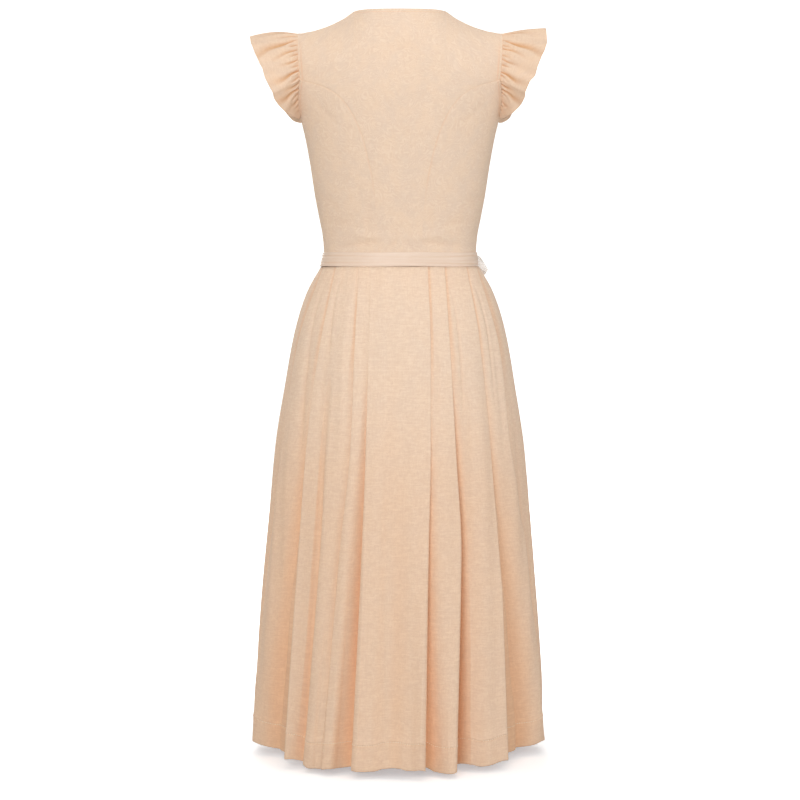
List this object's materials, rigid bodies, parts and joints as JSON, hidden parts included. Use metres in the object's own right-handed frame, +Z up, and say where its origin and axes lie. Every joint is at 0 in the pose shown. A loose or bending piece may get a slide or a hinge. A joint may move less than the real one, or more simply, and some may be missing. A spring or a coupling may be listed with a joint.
{
  "type": "dirndl",
  "caption": "Peach dirndl as worn, with no wearer: fitted bodice with curved seams, ruffles at the armholes, pleated calf-length skirt, ribbon belt with a bow",
  "frame": {"origin": "on the body's centre line, level with the two side-neck points and in the plane of the shoulder seams, where the wearer's shoulders carry the garment", "axes": "+X to the wearer's left, +Y to the wearer's back, +Z up"},
  "size_m": [0.4729, 0.4101, 1.1725],
  "materials": {
    "peach_cloth": "woven cotton and linen, matt, with a faint tone-on-tone scroll figure and slubs",
    "ivory_ribbon": "satin ribbon with a soft sheen",
    "button_cover": "the same cloth stretched over a button, matt"
  },
  "bodies": {
    "root": {"bodice_back": "peach_cloth", "side_back_l": "peach_cloth", "side_back_r": "peach_cloth", "side_front_l": "peach_cloth", "side_front_r": "peach_cloth", "front_l": "peach_cloth", "front_r": "peach_cloth", "ruffle_l": "peach_cloth", "ruffle_r": "peach_cloth", "skirt_back": "peach_cloth", "skirt_front": "peach_cloth", "belt": "ivory_ribbon", "bow_knot": "ivory_ribbon", "bow_loop_front": "ivory_ribbon", "bow_loop_side": "ivory_ribbon", "bow_tail_a": "ivory_ribbon", "bow_tail_b": "ivory_ribbon", "button_1": "button_cover", "button_2": "button_cover", "button_3": "button_cover", "button_4": "button_cover", "button_5": "button_cover", "button_6": "button_cover", "button_7": "button_cover"}
  },
  "joints": []
}
